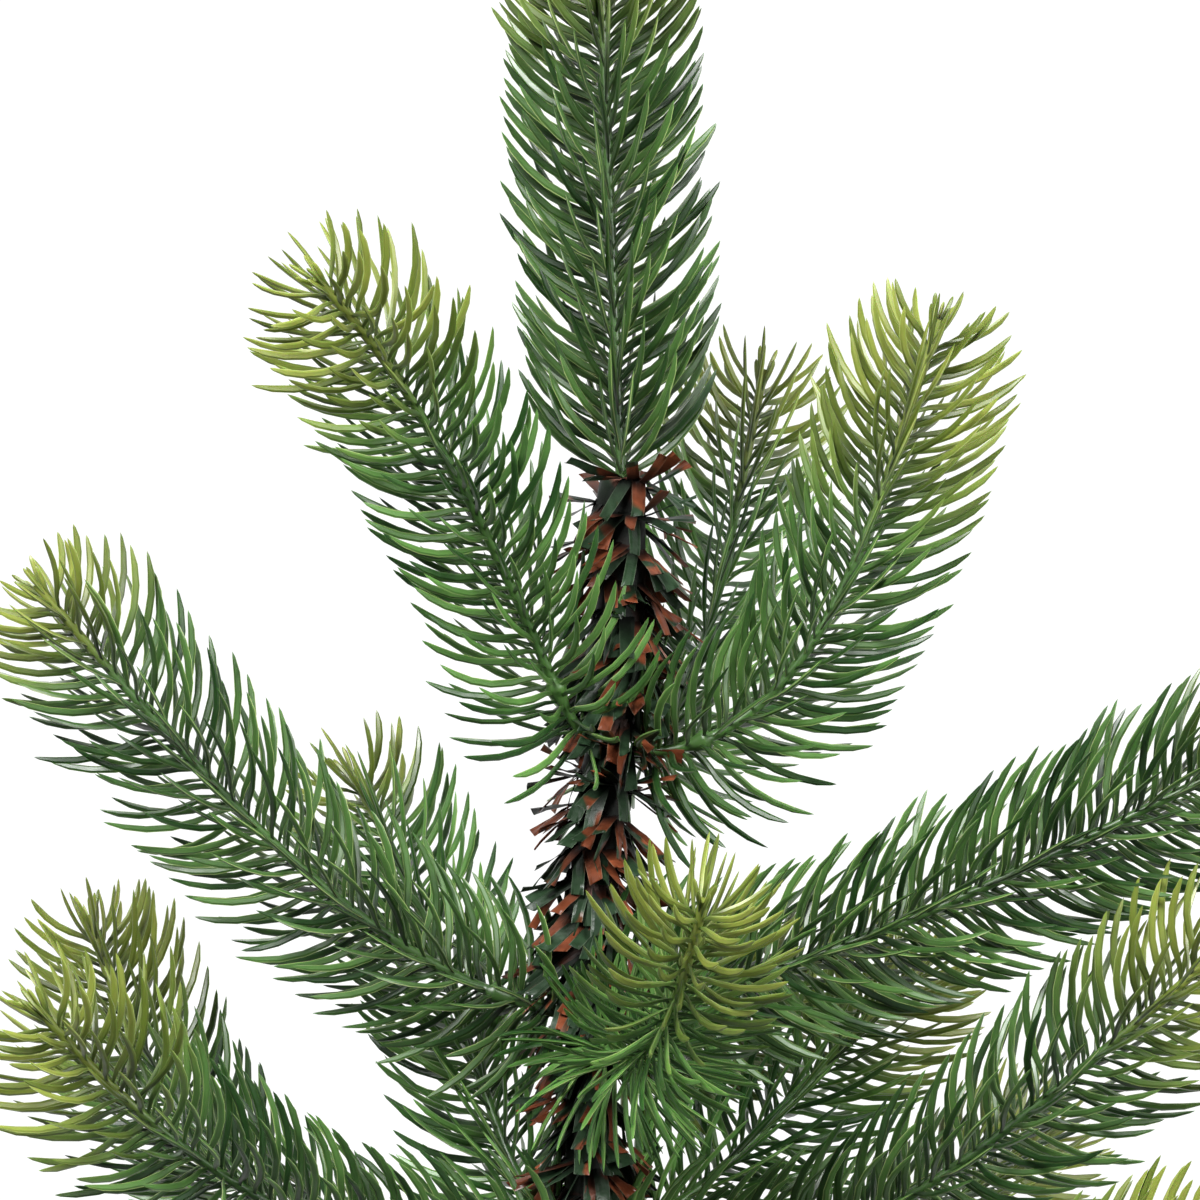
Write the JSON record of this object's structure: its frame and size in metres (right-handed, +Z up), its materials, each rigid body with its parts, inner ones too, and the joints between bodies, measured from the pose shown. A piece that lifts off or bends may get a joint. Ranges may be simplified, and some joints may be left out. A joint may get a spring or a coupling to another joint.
{
  "type": "artificial pine branch",
  "caption": "Top of an artificial pine branch lying on its back sprigs: a stem wound with cut film, a leader and side sprigs in rings, each with curved moulded needles.",
  "frame": {"origin": "on the surface that the branch lies on, under the middle of its box", "axes": "+Y along the stem from the cut end to the leader's end, +Z up out of the branch's front, +X to the right of the stem seen from above"},
  "size_m": [0.269, 0.3478, 0.1774],
  "materials": {
    "stem_plastic": "moulded grey-brown rod, mostly hidden under the wound film",
    "wound_film": "cut strips of dark green and reddish brown film, satin, creased",
    "needle_plastic": "soft moulded plastic, satin, deep green turning yellow-green towards the sprig ends"
  },
  "bodies": {
    "root": {"stem_rod": "stem_plastic", "stem_wrap_foot": "wound_film", "stem_wrap_lower": "wound_film", "stem_wrap_middle": "wound_film", "stem_wrap_upper": "wound_film", "stem_wrap_top": "wound_film", "sprig_leader": "needle_plastic", "sprig_upper_left": "needle_plastic", "sprig_upper_right": "needle_plastic", "sprig_upper_back": "needle_plastic", "sprig_middle_left": "needle_plastic", "sprig_middle_right": "needle_plastic", "sprig_middle_front": "needle_plastic", "sprig_middle_back": "needle_plastic", "sprig_lower_right": "needle_plastic", "sprig_lower_right_back": "needle_plastic", "sprig_lower_left": "needle_plastic", "sprig_lower_left_back": "needle_plastic", "sprig_foot_left_back": "needle_plastic", "sprig_foot_right_back": "needle_plastic", "sprig_foot_right": "needle_plastic"}
  },
  "joints": []
}
